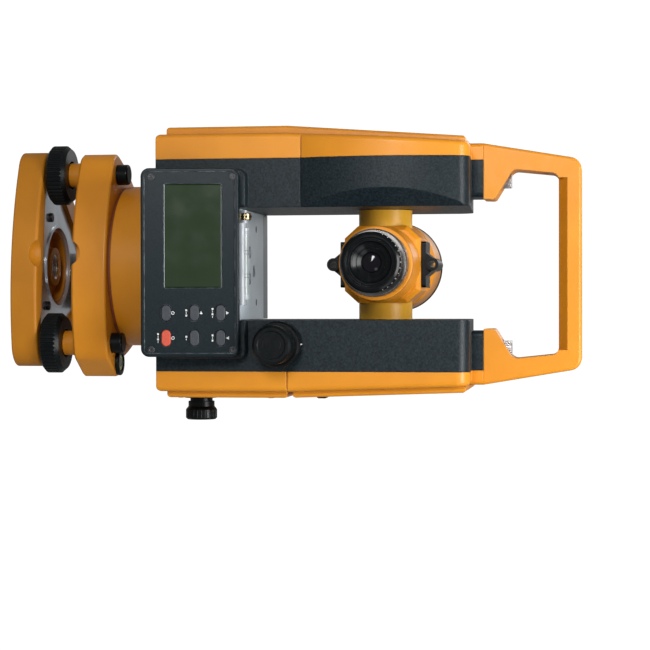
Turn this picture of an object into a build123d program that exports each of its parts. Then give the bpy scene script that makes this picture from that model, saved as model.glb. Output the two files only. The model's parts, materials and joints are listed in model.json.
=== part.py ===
from build123d import *
import os
from math import cos, hypot, pi, radians, sin

# Electronic theodolite on its tribrach. Millimetres, +Z up the vertical axis, origin at the
# centre of the tripod thread in the underside of the base plate. The operator stands at -Y.
# Heights in this file start from a datum inside the base plate, and main() adds DATUM to them.

# ---- driving dimensions -------------------------------------------------------------------
DATUM = 4.2                  # height of the datum over the underside of the base plate
HANDLE_TOP = 340.0
TILT_AXIS_Z = 219.7          # telescope tilting axis, along X
CLEAR = 0.05                 # radial running clearance

# tribrach
THREAD_R = 15.875 / 2        # 5/8 inch-11 tripod thread
FOOT_CIRCLE_R = 60.5
TRIBRACH_TURN = -8.0         # the tribrach stands turned about Z
FOOT_ANGLES = {"left": 210 + TRIBRACH_TURN, "right": 330 + TRIBRACH_TURN, "rear": 90 + TRIBRACH_TURN}
FRONT_SIDE = 270 + TRIBRACH_TURN
BASE_CORNER_R, BASE_SIDE = 14.3, 52.0
BASE_Z, RIM_Z = 8.4, 12.2
POCKET_Z, BOSS_WALL = 3.0, 4.0
SPRING_PLATE_T = 1.5
SPRING_PLATE_CORNER = 8.0
SPRING_PLATE_HOLE_R = 24.5
SPRING_SCREW_R, SPRING_SCREW_SPREAD = 34.5, 54.0
SCOOP_R, SCOOP_RISE = 9.3, 4.0             # dip in the rim, its centre over the rim
BALL_R, BALL_Z = 4.6, 5.6
SPINDLE_R = 4.0
NECK_R = 3.4
KNOB_R, KNOB_Z0, KNOB_Z1 = 18.3, 13.8, 26.2
KNOB_FLUTES = 44
SLEEVE_R, SLEEVE_Z = 7.5, 26.0
BUSH_R = 5.6
TRIBRACH_Z0, TRIBRACH_Z1 = 34.0, 55.5
TRIBRACH_CORNER_R, TRIBRACH_SIDE = 12.7, 52.5
CAP_R, CAP_Z1 = 6.3, 62.8
LEVEL_X, LEVEL_Y, LEVEL_R = 60.0, -24.0, 8.0
LEVEL_DEPTH, LEVEL_RIM = 6.0, 2.3          # circular level, below and above the tribrach's top
VIAL_R = 5.4
ARCH_R = 8.0                              # arch in the tribrach's front, over the base's scoop
LOCK_ANGLE = 150 + TRIBRACH_TURN
LOCK_Z = 45.0
LOCK_HUB_R, LOCK_PIN_R, LOCK_REACH = 9.0, 3.0, 20.0
DRUM_R, DRUM_Z1 = 50.0, 83.5
DRUM_SEAM = 1.9              # height of the shadow groove under the drum
DRUM_BORE_R = 46.0
PLUG_R = 20.0
BUSH_OUT_R, AXIS_R, BUSH_Z1 = 14.0, 8.0, 80.0
CIRCLE_R, CIRCLE_Z = 40.0, 70.0           # graduated horizontal circle
VERTICAL_CIRCLE_R = 35.0

# alidade
ALIDADE_Z0 = 84.6
SHELL_IN = 33.65                          # |X| of the standards' inner walls
SHELL_OUT = {-1: 63.2, 1: 64.5}           # |X| of the black shells, left and right
SHELL_Y, SHELL_Z0, SHELL_TOP = 50.0, 86.0, 275.2
SHELL_REAR_TOP = 270.8                    # the tops slope down to the rear
FRONT_CORNER_R, REAR_CORNER_R = 8.0, 10.0
WALL = 3.0
COVER_OUT = {-1: 78.4, 1: 76.6}           # |X| of the yellow side covers
COVER_TOP = {-1: 71.8, 1: 73.0}           # where they have leant in to at the top
PANEL_OUT = {-1: 83.2, 1: 80.6}           # |X| of the raised side panels
PANEL_TOP = {-1: 75.4, 1: 76.8}
LEAN_Z = 165.0                            # the sides lean in above this height
PANEL_Z0, PANEL_Z1, PANEL_Y = 91.0, 272.0, 42.0
PANEL_EDGE_R = 2.0
BATTERY_Y, BATTERY_TOP = 34.0, 258.0       # the battery's plug, inside the right cover
COVER_EDGE_R = 3.0                        # rounding of the side covers' outer edges
NECK_Z1, NECK_OUT, NECK_Y = 281.0, 73.3, 16.0
HANDLE_SCREW_X = 51.0
DECK_Z = 136.5
BULGE, BULGE_RUN = 8.0, 11.0              # forward bulge of the left shell, its inner chamfer
DECK_HOLES = ((-8.0, -12.0), (3.5, 1.3), (8.5, -12.0))
DECK_SCREWS = ((-23.0, 9.0), (23.0, 9.0), (-23.0, -30.0), (23.0, -30.0))
SEAM_Z, SPLIT_Z, SEAM_WIDTH = 174.6, 166.0, 0.7       # parting lines, left and right
BOSS_OUT, BOSS_TOP, BOSS_DEPTH = 56.5, 142.6, 8.4     # display bosses on the standards
TRUNNION_R = 16.4
BEARING_WALL = 3.5
LEVEL_TUBE = (-21.6, 21.6)                # X of the plate level
LEVEL_TUBE_Y = -46.2

PLUMMET_R, PLUMMET_Z = 8.3, 103.0
KNOB_BORE_R = 5 + CLEAR
CLAMP_X = 48.0
CLAMP_RING_R, TANGENT_KNOB_R = 13.9, 11.5

# telescope
BLOCK_HALF = (23.5, 23.3)                 # half width and half height of the telescope's block
BLOCK_CORNER = (15.0, 16.0)               # where its cut corners start, upright and across
BLOCK_FRONT, BLOCK_BACK = -19.0, 25.0
OBJECTIVE_R = 28.5
SIGHT_AXIS = 30.2                         # distance of the sights from the line of sight

# carrying handle
HANDLE_Y, GRIP_Z = 14.0, 326.2            # half depth, underside of the grip

# display
DISPLAY_X0, DISPLAY_X1 = -56.3, 55.2
DISPLAY_BOTTOM = (-75.0, 82.9)            # Y, Z of the front face's lower edge
DISPLAY_TOP = (-68.0, 140.4)              # Y, Z of its upper edge
DISPLAY_THICK = 9.0
DISPLAY_SCREW_X = (-51.1, 51.1)
DISPLAY_SCREW_Z = (89.0, 136.8)
KEY_COLUMNS = (29.2, 44.0)
KEY_ROWS = (97.8, 114.4, 129.8)
KEY_LENGTH, KEY_WIDTH = 9.5, 5.5
PANEL_RECESS = 0.8
WINDOW_X = (-46.9, 14.4)
WINDOW_Z = (96.4, 130.7)


# ---- helpers ------------------------------------------------------------------------------
def polar(radius, angle, z=0.0):
    """A point at a radius and an angle in degrees about Z."""
    return (radius * cos(radians(angle)), radius * sin(radians(angle)), z)


def prism(face, z0, z1):
    """A sketch on the XY plane, extruded from z0 to z1."""
    return extrude(Pos(0, 0, z0) * face, z1 - z0)


def drum(radius, z0, z1, x=0.0, y=0.0):
    """An upright cylinder."""
    return prism(Pos(x, y) * Circle(radius), z0, z1)


def block(x0, x1, y0, y1, z0, z1):
    """A box between two corners."""
    return Pos((x0 + x1) / 2, (y0 + y1) / 2, (z0 + z1) / 2) * Box(x1 - x0, y1 - y0, z1 - z0)


def rod_x(radius, x0, x1, y, z):
    """A cylinder along X."""
    start = Plane((min(x0, x1), y, z), x_dir=(0, 1, 0), z_dir=(1, 0, 0))
    return extrude(start * Circle(radius), abs(x1 - x0))


def rod_y(radius, y0, y1, x, z):
    """A cylinder along Y."""
    start = Plane((x, min(y0, y1), z), x_dir=(1, 0, 0), z_dir=(0, 1, 0))
    return extrude(start * Circle(radius), abs(y1 - y0))


def turned(outline, plane):
    """A body of revolution: outline points are (radius, distance along the plane's normal)."""
    at = Plane(plane.origin, x_dir=plane.x_dir, z_dir=-plane.y_dir)
    face = at * make_face(Polyline(*outline, close=True))
    return revolve(face, Axis(plane.origin, plane.z_dir), 360)


def along_x(x, y, z, sign=1):
    """A plane at a point, facing along X."""
    return Plane((x, y, z), x_dir=(0, 1, 0), z_dir=(sign, 0, 0))


def along_y(x, y, z, sign=-1):
    """A plane at a point, facing along Y."""
    return Plane((x, y, z), x_dir=(1, 0, 0), z_dir=(0, sign, 0))


def along_z(x, y, z, sign=1):
    """A plane at a point, facing along Z."""
    return Plane((x, y, z), x_dir=(1, 0, 0), z_dir=(0, 0, sign))


def rounded_triangle(centre_r, corner_r, side):
    """A three-sided outline on the foot screws, its sides bulging out to a given distance."""
    straight = side - corner_r
    back = (centre_r**2 - straight**2) / (2 * straight - centre_r)
    side_r = side + back
    edges = []
    for angle in FOOT_ANGLES.values():
        centre = Vector(*polar(centre_r, angle))
        arc_ends = []
        for turn in (-60, 60):
            hub = Vector(*polar(-back, angle + turn))
            arc_ends.append(hub + (centre - hub).normalized() * side_r)
        edges.append(ThreePointArc(arc_ends[0], polar(centre_r + corner_r, angle), arc_ends[1]))
        next_centre = Vector(*polar(centre_r, angle + 120))
        hub = Vector(*polar(-back, angle + 60))
        far_end = hub + (next_centre - hub).normalized() * side_r
        edges.append(ThreePointArc(arc_ends[1], polar(side, angle + 60), far_end))
    return make_face(Wire([e.edge() for e in edges]))


def straight_triangle(corner_r):
    """A three-sided outline with straight sides and round corners on the foot screws."""
    corners = [Pos(*polar(FOOT_CIRCLE_R, a)) * Circle(corner_r) for a in FOOT_ANGLES.values()]
    return make_hull([circle.edge() for circle in corners])


def fluted(radius, count, depth, z0, z1):
    """A round bar with scalloped grip flutes along Z."""
    cutter_r = pi * radius / count * 0.62
    reach = radius + cutter_r - depth
    cutters = [Pos(*polar(reach, i * 360 / count)) * Circle(cutter_r) for i in range(count)]
    return prism(Circle(radius) - cutters, z0, z1)


pieces = {}


# ---- tribrach base ------------------------------------------------------------------------
def make_base():
    plate = prism(rounded_triangle(FOOT_CIRCLE_R, BASE_CORNER_R, BASE_SIDE), -DATUM, RIM_Z)
    plate = fillet(plate.edges().group_by(Axis.Z)[-1], 1.8)
    plate = fillet(plate.edges().group_by(Axis.Z)[0], 1.0)
    plate -= prism(straight_triangle(SPRING_PLATE_CORNER + 0.4), BASE_Z, RIM_Z + 1)
    for angle in FOOT_ANGLES.values():
        x, y, _ = polar(FOOT_CIRCLE_R, angle)
        plate -= drum(BALL_R + CLEAR, BALL_Z - BALL_R - CLEAR, BASE_Z + 1, x, y)
    plate -= drum(THREAD_R, -DATUM - 1, BASE_Z + 1)
    plate -= drum(SPRING_PLATE_HOLE_R - 2.5, POCKET_Z, BASE_Z + 1) - drum(THREAD_R + BOSS_WALL, 0, BASE_Z)
    plate -= Pos(*polar(BASE_SIDE, FRONT_SIDE, RIM_Z + SCOOP_RISE)) * Sphere(SCOOP_R)
    pieces["base_plate"] = plate

    top = BASE_Z + SPRING_PLATE_T
    sheet = prism(straight_triangle(SPRING_PLATE_CORNER), BASE_Z, top)
    sheet += drum(SPRING_PLATE_HOLE_R + 1.6, top, top + 0.8)
    sheet -= drum(SPRING_PLATE_HOLE_R, BASE_Z - 1, top + 2)
    for angle in FOOT_ANGLES.values():
        x, y, _ = polar(FOOT_CIRCLE_R, angle)
        sheet -= drum(NECK_R + 0.7, BASE_Z - 1, top + 1, x, y)
    screws = []
    for angle in (FRONT_SIDE - SPRING_SCREW_SPREAD, FRONT_SIDE + SPRING_SCREW_SPREAD, FOOT_ANGLES["rear"]):
        x, y, _ = polar(SPRING_SCREW_R, angle)
        sheet -= drum(1.6, BASE_Z - 1, top + 1, x, y)
        pieces["base_plate"] -= drum(1.6, POCKET_Z, BASE_Z + 1, x, y)
        head = fillet(drum(2.9, top, top + 1.9, x, y).edges().group_by(Axis.Z)[-1], 0.5)
        head -= block(x - 3, x + 3, y - 0.4, y + 0.4, top + 1.2, top + 3)
        screws.append(head + drum(1.5, POCKET_Z + 0.5, top + 0.1, x, y))
    pieces["spring_plate"] = sheet
    pieces["spring_plate_screws"] = Compound([s.solid() for s in screws])


def make_foot_screws():
    for name, angle in FOOT_ANGLES.items():
        x, y, _ = polar(FOOT_CIRCLE_R, angle)
        spindle = Pos(x, y, BALL_Z) * Sphere(BALL_R)
        spindle += drum(NECK_R, BALL_Z, KNOB_Z0 + 1, x, y)
        spindle += drum(SPINDLE_R, KNOB_Z0, TRIBRACH_Z1 - 0.5, x, y)
        knob = Pos(x, y) * fluted(KNOB_R, KNOB_FLUTES, 0.7, KNOB_Z0, KNOB_Z1)
        knob &= turned([(0, 0), (KNOB_R - 2.0, 0), (KNOB_R + 0.5, 2.2), (KNOB_R + 0.5, 9.0),
                        (KNOB_R - 2.4, KNOB_Z1 - KNOB_Z0), (0, KNOB_Z1 - KNOB_Z0)],
                       along_z(x, y, KNOB_Z0))
        knob -= drum(SLEEVE_R + 1.2, KNOB_Z0 + 6.5, KNOB_Z1 + 1, x, y)
        knob -= drum(SPINDLE_R, KNOB_Z0 - 1, KNOB_Z1, x, y)
        pieces[f"foot_screw_{name}_spindle"] = spindle
        pieces[f"foot_screw_{name}_knob"] = knob


# ---- tribrach body ------------------------------------------------------------------------
def make_tribrach():
    outline = rounded_triangle(FOOT_CIRCLE_R, TRIBRACH_CORNER_R, TRIBRACH_SIDE)
    corner = Pos(*polar(FOOT_CIRCLE_R, FOOT_ANGLES["right"])) * Circle(TRIBRACH_CORNER_R)
    lobe = Pos(LEVEL_X - 1, LEVEL_Y) * Circle(LEVEL_R + 1.6)
    outline = Sketch() + outline + make_hull([corner.edge(), lobe.edge()])
    dents = [v for v in outline.vertices() if v.X > 40 and v.Y > LEVEL_Y + 2 and v.Y < 20]
    outline = fillet(dents, 12.0)
    body = prism(outline, TRIBRACH_Z0, TRIBRACH_Z1)
    body = fillet(body.edges().group_by(Axis.Z)[-1], 1.6)
    body = chamfer(body.edges().group_by(Axis.Z)[0], 1.2)
    body -= drum(PLUG_R + 14, TRIBRACH_Z0 - 1, TRIBRACH_Z0 + 8)
    body -= drum(PLUG_R, TRIBRACH_Z0, TRIBRACH_Z1 + 1)
    notch = Plane(polar(0, FRONT_SIDE, TRIBRACH_Z0 - 3.0), x_dir=(0, 0, 1), z_dir=polar(1, FRONT_SIDE))
    body -= extrude(notch * Circle(ARCH_R), TRIBRACH_SIDE + 5) - drum(TRIBRACH_SIDE - 10.5, 0, 100)
    bushes, caps = [], []
    for angle in FOOT_ANGLES.values():
        x, y, _ = polar(FOOT_CIRCLE_R, angle)
        body += drum(SLEEVE_R, SLEEVE_Z, TRIBRACH_Z0 + 2, x, y)
        body -= drum(BUSH_R, SLEEVE_Z - 1, TRIBRACH_Z1 + 1, x, y)
        bushes.append(drum(BUSH_R, SLEEVE_Z, TRIBRACH_Z1, x, y) - drum(SPINDLE_R + CLEAR, 0, 100, x, y))
        cap = fillet(drum(CAP_R, TRIBRACH_Z1, CAP_Z1, x, y).edges().group_by(Axis.Z)[-1], 1.2)
        caps.append(cap - drum(SPINDLE_R + 0.6, TRIBRACH_Z1 - 1, CAP_Z1 - 1.5, x, y))
    body -= drum(LEVEL_R - 1.5, TRIBRACH_Z1 - LEVEL_DEPTH, TRIBRACH_Z1 + 1, LEVEL_X, LEVEL_Y)
    lock_centre = polar(TRIBRACH_SIDE, LOCK_ANGLE, LOCK_Z)
    lock_plane = Plane(lock_centre, x_dir=polar(1, LOCK_ANGLE + 90), z_dir=polar(1, LOCK_ANGLE))
    body -= extrude(lock_plane * Circle(LOCK_PIN_R + CLEAR), -20)
    body -= extrude(lock_plane * Circle(LOCK_HUB_R + 1.5), -2.5)
    pieces["tribrach_body"] = body
    pieces["foot_screw_bushes"] = Compound([b.solid() for b in bushes])
    pieces["foot_screw_caps"] = Compound([c.solid() for c in caps])

    cup_floor = TRIBRACH_Z1 - LEVEL_DEPTH + 1
    cup = drum(LEVEL_R, TRIBRACH_Z1, TRIBRACH_Z1 + LEVEL_RIM, LEVEL_X, LEVEL_Y)
    cup = fillet(cup.edges().group_by(Axis.Z)[-1], 0.8)
    cup += drum(LEVEL_R - 1.5, TRIBRACH_Z1 - LEVEL_DEPTH, TRIBRACH_Z1 + 0.1, LEVEL_X, LEVEL_Y)
    cup -= drum(VIAL_R, cup_floor, TRIBRACH_Z1 + LEVEL_RIM + 1, LEVEL_X, LEVEL_Y)
    vial = drum(VIAL_R, cup_floor, TRIBRACH_Z1 + LEVEL_RIM - 0.6, LEVEL_X, LEVEL_Y)
    pieces["circular_level_cup"] = cup
    pieces["circular_level_vial"] = fillet(vial.edges().group_by(Axis.Z)[-1], 0.8)

    lever_plane = lock_plane.offset(0.3)
    lever = extrude(lever_plane * Circle(LOCK_HUB_R), 7.0)
    grip = make_hull([Circle(6.5).edge(), (Pos(LOCK_REACH, 0) * Circle(4.0)).edge()])
    lever += extrude(lock_plane.offset(2.3) * grip, 6.5)
    outward = Axis(lock_plane.origin, lock_plane.z_dir)
    lever = fillet(lever.edges().filter_by(GeomType.CIRCLE).sort_by(outward)[-2:], 0.8)
    lever += extrude(lever_plane * Circle(LOCK_PIN_R), -18)
    pieces["lock_lever"] = lever

    height = DRUM_Z1 - TRIBRACH_Z1
    shell = turned([(0, 0), (DRUM_R - 1.4, 0), (DRUM_R - 1.4, DRUM_SEAM), (DRUM_R - 0.5, DRUM_SEAM),
                    (DRUM_R, DRUM_SEAM + 0.5), (DRUM_R, height - 1.5), (DRUM_R - 1.5, height),
                    (DRUM_BORE_R, height), (DRUM_BORE_R, 4), (0, 4)], along_z(0, 0, TRIBRACH_Z1))
    shell += drum(PLUG_R, TRIBRACH_Z0 + 3, TRIBRACH_Z1 + 1)
    shell -= drum(BUSH_OUT_R, 0, 100)
    pieces["lower_drum"] = shell
    pieces["axis_bush"] = drum(BUSH_OUT_R, TRIBRACH_Z0 + 3, BUSH_Z1) - drum(AXIS_R + CLEAR, 0, BUSH_Z1 + 1)
    circle = drum(CIRCLE_R, CIRCLE_Z, CIRCLE_Z + 2)
    pieces["horizontal_circle"] = circle - drum(BUSH_OUT_R, CIRCLE_Z - 1, CIRCLE_Z + 3)


# ---- alidade ------------------------------------------------------------------------------
FLOOR_Z, FRAME_Z = 92.0, 96.0             # top of the alidade's base, underside of the frame
LEDGE_Z = 104.0


def make_alidade_core():
    pieces["alidade_base"] = prism(RectangleRounded(124, 91, 12), ALIDADE_Z0, FLOOR_Z) - drum(AXIS_R, 0, 100)
    spindle = drum(AXIS_R, TRIBRACH_Z0 + 6, FLOOR_Z) + drum(15, FLOOR_Z, FRAME_Z)
    pieces["vertical_spindle"] = spindle - drum(3.5, 0, 100)

    frame = block(-59, 59, -38, 38, FLOOR_Z, LEDGE_Z) - drum(15, 90, FRAME_Z)
    frame -= drum(6, 90, 110)
    for side in (-1, 1):
        upright = block(*sorted((side * 38.0, side * 58.0)), -36, 36, LEDGE_Z, 264)
        frame += fillet(upright.edges().filter_by(Axis.X).group_by(Axis.Z)[-1], 14)
        frame -= rod_x(TRUNNION_R + BEARING_WALL, side * 30, side * 70, 0, TILT_AXIS_Z)
    pieces["u_frame"] = frame
    bearings = []
    for side in (-1, 1):
        ring = rod_x(TRUNNION_R + BEARING_WALL, side * 40, side * 56, 0, TILT_AXIS_Z)
        bearings.append((ring - rod_x(TRUNNION_R + CLEAR, side * 30, side * 70, 0, TILT_AXIS_Z)).solid())
    pieces["trunnion_bearings"] = Compound(bearings)

    deck = block(-33.4, 33.4, -49.8, 33.6, DECK_Z - 2, DECK_Z)
    for x, y in DECK_HOLES:
        deck -= drum(3.8, DECK_Z - 3, DECK_Z + 1, x, y)
    screws = []
    for x, y in DECK_SCREWS:
        deck -= drum(2.2, DECK_Z - 0.9, DECK_Z + 1, x, y) + drum(1.3, DECK_Z - 3, DECK_Z + 1, x, y)
        screw = drum(2.1, DECK_Z - 0.9, DECK_Z, x, y) + drum(1.2, DECK_Z - 8, DECK_Z - 0.8, x, y)
        screw -= block(x - 1.6, x + 1.6, y - 0.35, y + 0.35, DECK_Z - 0.5, DECK_Z + 1)
        screws.append(screw.solid())
    pieces["deck_plate"] = deck
    pieces["deck_screws"] = Compound(screws)

    rear = block(-33.4, 33.4, 46.2, SHELL_Y, FLOOR_Z + 0.6, DECK_Z)
    rear += block(-33.4, 33.4, 34, SHELL_Y, DECK_Z - 2, DECK_Z)
    rear = fillet(rear.edges().filter_by(Axis.X).group_by(Axis.Y)[-1].group_by(Axis.Z)[-1], 1.5)
    pieces["rear_cover"] = rear


def make_plate_level():
    """The level tube lies in an open channel along X, with its adjusting nut at the left end."""
    start, end = LEVEL_TUBE
    axis_z = DECK_Z + 3.05
    holder = block(start - 3, end + 3, LEVEL_TUBE_Y - 4.2, LEVEL_TUBE_Y + 4.2, DECK_Z, DECK_Z + 4.4)
    holder = fillet(holder.edges().filter_by(Axis.X).group_by(Axis.Z)[-1], 3.2)
    holder += rod_x(2.2, start - 10.5, start - 3, LEVEL_TUBE_Y, axis_z)
    holder += rod_x(3.6, start - 8.6, start - 5.2, LEVEL_TUBE_Y, DECK_Z + 3.7)
    holder -= rod_x(3.0, start, end, LEVEL_TUBE_Y, axis_z)
    pieces["plate_level_holder"] = holder
    pieces["plate_level_vial"] = rod_x(3.0, start, end, LEVEL_TUBE_Y, axis_z)


def standard_profile(side):
    """Side view of a standard, as a sketch in Y and Z on a plane facing +X."""
    front, rear = -SHELL_Y, SHELL_Y
    if side < 0:
        middle = (front - BULGE, (SEAM_Z + SHELL_TOP) / 2)
        front_edge = Line((front, SHELL_Z0), (front, SEAM_Z))
        front_edge += ThreePointArc((front, SEAM_Z), middle, (front, SHELL_TOP))
    else:
        front_edge = Line((front, SHELL_Z0), (front, SHELL_TOP))
    rest = Polyline((front, SHELL_TOP), (rear, SHELL_REAR_TOP), (rear, SHELL_Z0), (front, SHELL_Z0))
    face = make_face(front_edge + rest)
    face = fillet(face.vertices().filter_by(lambda v: v.X < 0 and v.Y > SHELL_TOP - 1), FRONT_CORNER_R)
    face = fillet(face.vertices().filter_by(lambda v: v.X > 0 and v.Y > SEAM_Z), REAR_CORNER_R)
    return along_x(0, 0, 0) * face


def slab_x(sketch, x0, x1):
    """A sketch on the YZ plane, extruded between two values of X."""
    low, high = sorted((x0, x1))
    return extrude(Pos(low, 0, 0) * sketch, high - low, dir=(1, 0, 0))


def side_envelope(side, low_out, top_out, half_depth):
    """The solid outline of a standard's side, whose outer face leans in above LEAN_Z."""
    outline = Polyline((0, 60), (side * low_out, 60), (side * low_out, LEAN_Z),
                       (side * top_out, SHELL_TOP), (side * top_out, 300), (0, 300), close=True)
    return extrude(Plane.XZ * make_face(outline), half_depth, both=True)


def span_x(side, inner, outer):
    """Two distances from the middle, as rising values of X on one side."""
    return sorted((side * inner, side * outer))


def outer_rim(solid, side):
    """The edges round a solid's outer faces, from the top down, without those between the faces."""
    edges = solid.faces().filter_by(lambda f: side * f.normal_at().X > 0.9).edges()
    outer = [e for e in edges if sum(e.is_same(other) for other in edges) == 1]
    return sorted(outer, key=lambda e: e.center().Z, reverse=True)


def make_standards():
    for side, name in ((-1, "left"), (1, "right")):
        profile = standard_profile(side)
        out = SHELL_OUT[side]
        shell = slab_x(profile, side * SHELL_IN, side * out)
        if side < 0:
            edge_x, far_x = side * SHELL_IN, side * (SHELL_IN + BULGE_RUN)
            ahead = -SHELL_Y - BULGE
            corner = Polyline((edge_x + 1, -SHELL_Y - 0.01), (edge_x, -SHELL_Y - 0.01), (far_x, ahead),
                              (far_x, ahead - 4), (edge_x + 1, ahead - 4), close=True)
            shell -= prism(make_face(corner), SEAM_Z - 5, SHELL_TOP + 1)
        boss = block(*span_x(side, SHELL_IN, BOSS_OUT), -SHELL_Y - BOSS_DEPTH, -SHELL_Y + 1,
                     SHELL_Z0 + 3, BOSS_TOP)
        outer_edges = boss.edges().filter_by(Axis.Y).group_by(Axis.X)[-1 if side > 0 else 0]
        boss = fillet(outer_edges, 5.0)
        shell += fillet(boss.faces().sort_by(Axis.Y)[0].edges(), 1.2)
        neck = block(*span_x(side, 40.5, out), -NECK_Y, NECK_Y, SHELL_TOP - 6, NECK_Z1)
        shell += fillet(neck.edges().filter_by(Axis.Z).group_by(Axis.X)[0 if side > 0 else -1], 3.0)
        shell -= block(*span_x(side, 37, out + 1), -SHELL_Y + WALL, SHELL_Y - WALL, ALIDADE_Z0 - 1, 266)
        shell -= block(*span_x(side, 30, 38), -46.2, 60, ALIDADE_Z0 - 1, LEDGE_Z + 0.2)
        shell -= rod_x(TRUNNION_R + 0.4, side * 30, side * 39, 0, TILT_AXIS_Z)
        shell -= drum(4, SHELL_TOP - 12, NECK_Z1 + 1, side * HANDLE_SCREW_X, 0)
        pieces[f"{name}_standard_shell"] = shell

        cover = slab_x(profile, side * out, side * COVER_OUT[side])
        cover &= side_envelope(side, COVER_OUT[side], COVER_TOP[side], 60)
        cover = fillet(outer_rim(cover, side), COVER_EDGE_R)
        neck = block(*span_x(side, out, NECK_OUT), -NECK_Y, NECK_Y, SHELL_TOP - 6, NECK_Z1)
        cover += fillet(neck.edges().filter_by(Axis.Z).group_by(Axis.X)[-1 if side > 0 else 0], 3.0)
        inside = side_envelope(side, COVER_OUT[side] - WALL, COVER_TOP[side] - WALL, SHELL_Y - WALL)
        cover -= inside & block(*span_x(side, out - 1, 90), -60, 60, SHELL_Z0 + 2.5, 266)
        groove = seam(side, SEAM_Z if side < 0 else SPLIT_Z)
        pieces[f"{name}_side_cover"] = cover - groove
        if side < 0:
            pieces["left_standard_shell"] = shell - groove


def raised_panel(side, z0, z1):
    """A raised panel on a side cover, between two heights, leaning in as the cover does."""
    panel = block(*span_x(side, COVER_TOP[side] - 4, PANEL_OUT[side]), -PANEL_Y, PANEL_Y, z0, z1)
    panel &= side_envelope(side, PANEL_OUT[side], PANEL_TOP[side], PANEL_Y)
    panel = fillet(outer_rim(panel, side), PANEL_EDGE_R)
    panel -= block(*span_x(side, 0, NECK_OUT), -NECK_Y, NECK_Y, SHELL_TOP - 6, NECK_Z1)
    return panel - side_envelope(side, COVER_OUT[side], COVER_TOP[side], 60)


def seam(side, z):
    """A shallow parting groove round the front and outside of a standard."""
    low, high = z - SEAM_WIDTH / 2, z + SEAM_WIDTH / 2
    groove = block(*span_x(side, SHELL_IN + 2, 90), -SHELL_Y - 2, -SHELL_Y + SEAM_WIDTH, low, high)
    return groove + block(*span_x(side, COVER_OUT[side] - SEAM_WIDTH, 90), -SHELL_Y, SHELL_Y + 1, low, high)


def make_side_panels():
    pieces["left_side_panel"] = raised_panel(-1, PANEL_Z0, PANEL_Z1)
    plummet_bore = rod_x(PLUMMET_R, 60, 90, 0, PLUMMET_Z)
    pieces["right_side_panel"] = raised_panel(1, PANEL_Z0, SPLIT_Z - 1.2) - plummet_bore
    battery = raised_panel(1, SPLIT_Z + 2.2, PANEL_Z1)
    low, high = SPLIT_Z + 8, BATTERY_TOP
    inner_part = block(66, COVER_OUT[1], -BATTERY_Y, BATTERY_Y, low, high)
    battery += inner_part & side_envelope(1, COVER_OUT[1] + 0.1, COVER_TOP[1] + 0.2, BATTERY_Y + 5)
    battery -= block(68, 72, -BATTERY_Y + 2, BATTERY_Y - 2, low + 2, high - 2)
    pieces["battery_box"] = battery
    slack = 0.4
    opening = block(60, COVER_OUT[1] + 2, -BATTERY_Y - slack, BATTERY_Y + slack, low - slack, high + slack)
    pieces["right_side_cover"] = pieces["right_side_cover"] - opening - plummet_bore


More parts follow.
